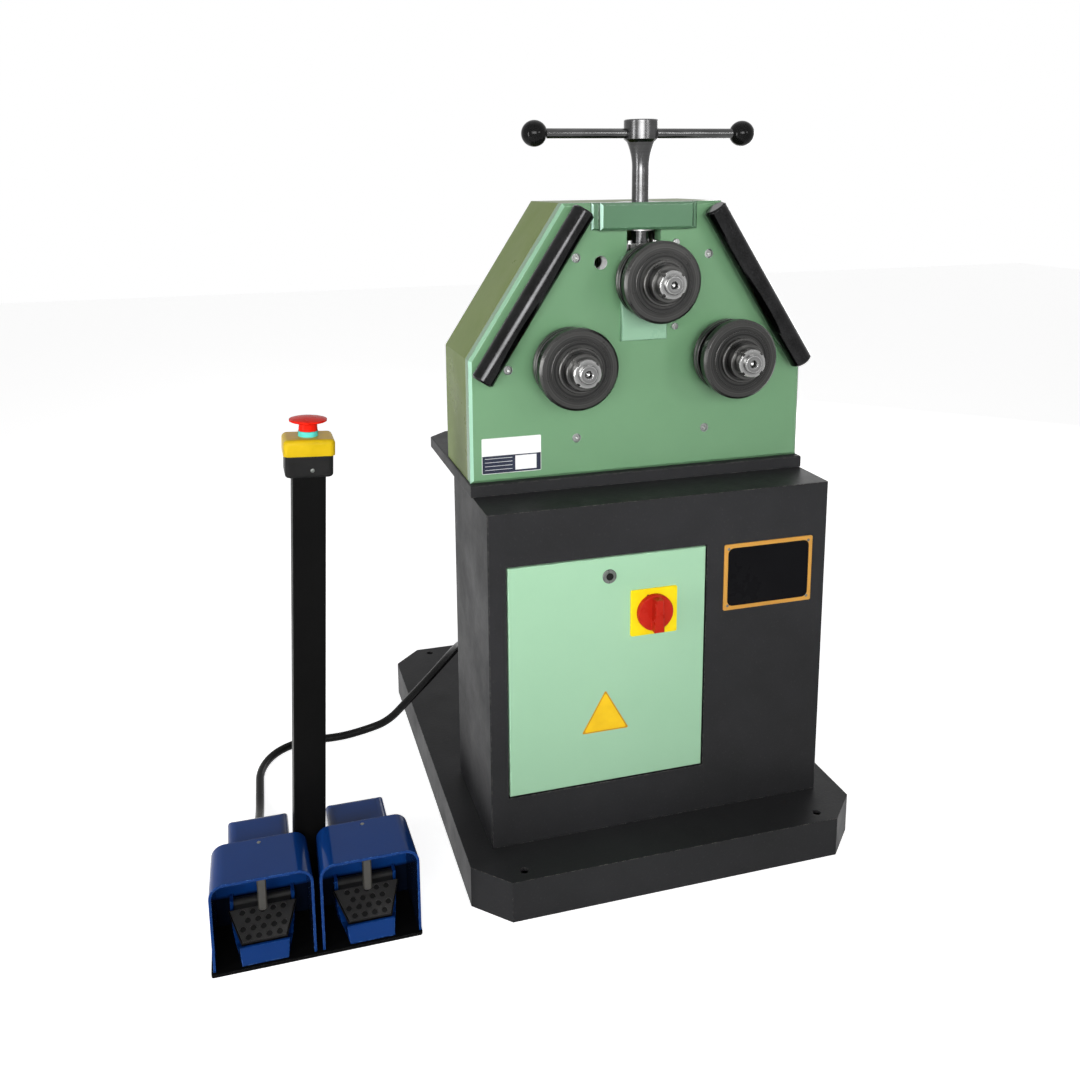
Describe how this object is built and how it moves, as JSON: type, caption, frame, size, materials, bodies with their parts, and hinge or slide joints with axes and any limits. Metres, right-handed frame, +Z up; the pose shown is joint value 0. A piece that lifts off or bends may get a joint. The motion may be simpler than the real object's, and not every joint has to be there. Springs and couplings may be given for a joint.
{
  "type": "three-roll ring bending machine",
  "caption": "Ring roller on a floor cabinet: driven lower rolls, a screw-fed upper roll with T-handle, tilting electrical panel, and a cabled pedal unit with stop button.",
  "frame": {"origin": "centre of the plinth's underside, on the floor", "axes": "+Z up, -Y towards the operator at the rolls, +X to the operator's right; the pedal unit stands on the -X side"},
  "size_m": [1.094, 0.84, 1.25],
  "materials": {
    "charcoal_paint": "satin, fine texture",
    "green_paint": "hammered enamel, semi-gloss",
    "pale_green_paint": "smooth enamel, semi-gloss",
    "grey_primer": "matt primer",
    "motor_grey": "satin",
    "blue_paint": "semi-gloss enamel",
    "black_paint": "satin",
    "black_oxide": "turned and oil-blackened",
    "bright_steel": "machined",
    "polished_steel": "polished",
    "gear_steel": "machined, oiled",
    "bronze": "machined",
    "cast_body": "painted cast",
    "black_plastic": "matt",
    "ribbed_rubber": "matt",
    "grey_plastic": "matt",
    "dark_plastic": "semi-gloss",
    "yellow_plastic": "semi-gloss",
    "red_plastic": "semi-gloss",
    "teal_plastic": "semi-gloss",
    "control_plastic": "matt",
    "cable_sheath": "satin"
  },
  "bodies": {
    "frame": {"plinth": "charcoal_paint", "cabinet_shell": "charcoal_paint", "control_gear": "control_plastic", "bed_plate": "charcoal_paint", "front_plate": "green_paint", "frame_screws": "black_oxide", "head_cover": "green_paint", "head_back_cover": "green_paint", "rear_bearing_plate": "grey_primer", "shaft_bearings": "bronze", "guide_bars": "black_oxide", "crosshead": "green_paint", "screw_nut": "gear_steel", "slide_gibs": "bright_steel", "gearbox": "cast_body", "motor": "motor_grey", "motor_fan_cowl": "motor_grey", "foot_plate": "black_paint", "left_guard": "blue_paint", "right_guard": "blue_paint", "left_pedal_housing": "blue_paint", "right_pedal_housing": "blue_paint", "post": "black_paint", "estop_base": "black_plastic", "estop_cover": "yellow_plastic", "cable_glands": "black_plastic", "pedal_cable": "cable_sheath"},
    "panel": {"door": "pale_green_paint", "lock_barrel": "bright_steel", "switch_body": "black_plastic", "switch_plate": "yellow_plastic"},
    "lock_tongue": {"lock_cam": "bright_steel"},
    "switch": {"switch_knob": "red_plastic"},
    "slide": {"slide_block": "pale_green_paint", "slide_keeper": "bright_steel", "top_bushes": "bronze", "thrust_cap": "bright_steel"},
    "screw": {"feed_screw": "polished_steel", "handle_bar": "polished_steel", "ball_knobs": "dark_plastic"},
    "top_roll": {"top_shaft": "bright_steel", "top_rolls": "black_oxide", "top_nut": "bright_steel"},
    "left_roll": {"left_shaft": "bright_steel", "left_rolls": "black_oxide", "left_nut": "bright_steel", "left_gear": "gear_steel"},
    "right_roll": {"right_shaft": "bright_steel", "right_rolls": "black_oxide", "right_nut": "bright_steel", "right_gear": "gear_steel"},
    "pinion": {"drive_pinion": "gear_steel"},
    "left_foot_pedal": {"left_pedal": "ribbed_rubber"},
    "right_foot_pedal": {"right_pedal": "ribbed_rubber"},
    "left_foot_latch": {"left_latch": "grey_plastic"},
    "right_foot_latch": {"right_latch": "grey_plastic"},
    "stop_stem": {"estop_stem": "black_plastic", "estop_ring": "teal_plastic"},
    "stop_button": {"estop_head": "red_plastic"}
  },
  "joints": [
    {"name": "panel_tilt", "type": "hinge", "parent": "frame", "child": "panel", "pos_m": [-0.097, -0.324, 0.164], "axis": [1, 0, 0], "range_deg": [0, 75]},
    {"name": "lock_turn", "type": "hinge", "parent": "panel", "child": "lock_tongue", "pos_m": [-0.097, -0.3027, 0.522], "axis": [0, -1, 0], "range_deg": [0, 90]},
    {"name": "switch_turn", "type": "hinge", "parent": "panel", "child": "switch", "pos_m": [-0.019, -0.336, 0.453], "axis": [0, 1, 0], "range_deg": [0, 90]},
    {"name": "screw_turn", "type": "hinge", "parent": "slide", "child": "screw", "pos_m": [0, -0.207, 1.1], "axis": [0, 0, -1], "range_deg": [-864, 3599]},
    {"name": "press_slide", "type": "slide", "parent": "frame", "child": "slide", "axis": [0, 0, -1], "range_m": [-0.012, 0.05]},
    {"name": "top_roll_spin", "type": "hinge", "parent": "slide", "child": "top_roll", "pos_m": [0, -0.23, 0.993], "axis": [0, 1, 0], "continuous": true},
    {"name": "left_roll_spin", "type": "hinge", "parent": "frame", "child": "left_roll", "pos_m": [-0.14, -0.2, 0.861], "axis": [0, 1, 0], "continuous": true},
    {"name": "right_roll_spin", "type": "hinge", "parent": "frame", "child": "right_roll", "pos_m": [0.14, -0.2, 0.861], "axis": [0, 1, 0], "continuous": true},
    {"name": "pinion_spin", "type": "hinge", "parent": "frame", "child": "pinion", "pos_m": [0, -0.1, 0.827], "axis": [0, 1, 0], "continuous": true},
    {"name": "left_pedal_press", "type": "hinge", "parent": "frame", "child": "left_foot_pedal", "pos_m": [-0.67, -0.316, 0.052], "axis": [1, 0, 0], "range_deg": [0, 8], "stiffness_Nm_per_rad": 6, "springref_deg": -6.88},
    {"name": "right_pedal_press", "type": "hinge", "parent": "frame", "child": "right_foot_pedal", "pos_m": [-0.509, -0.316, 0.052], "axis": [1, 0, 0], "range_deg": [0, 8], "stiffness_Nm_per_rad": 6, "springref_deg": -6.88},
    {"name": "left_latch_swing", "type": "hinge", "parent": "frame", "child": "left_foot_latch", "pos_m": [-0.67, -0.352, 0.134], "axis": [1, 0, 0], "range_deg": [0, 32], "stiffness_Nm_per_rad": 0.02, "springref_deg": -8.59},
    {"name": "right_latch_swing", "type": "hinge", "parent": "frame", "child": "right_foot_latch", "pos_m": [-0.509, -0.352, 0.134], "axis": [1, 0, 0], "range_deg": [0, 32], "stiffness_Nm_per_rad": 0.02, "springref_deg": -8.59},
    {"name": "stop_push", "type": "slide", "parent": "frame", "child": "stop_stem", "axis": [-0.0454, 0, -0.999], "range_m": [0, 0.006]},
    {"name": "stop_twist", "type": "hinge", "parent": "stop_stem", "child": "stop_button", "pos_m": [-0.56018, -0.262, 0.78719], "axis": [-0.0454, 0, -0.999], "range_deg": [0, 45], "stiffness_Nm_per_rad": 0.05, "springref_deg": -5.73}
  ],
  "couplings": [
    {"joint": "press_slide", "follows": "screw_turn", "m_per_rad": 0.00079577},
    {"joint": "right_roll_spin", "follows": "left_roll_spin", "ratio": 1},
    {"joint": "pinion_spin", "follows": "left_roll_spin", "ratio": -2.2727}
  ]
}
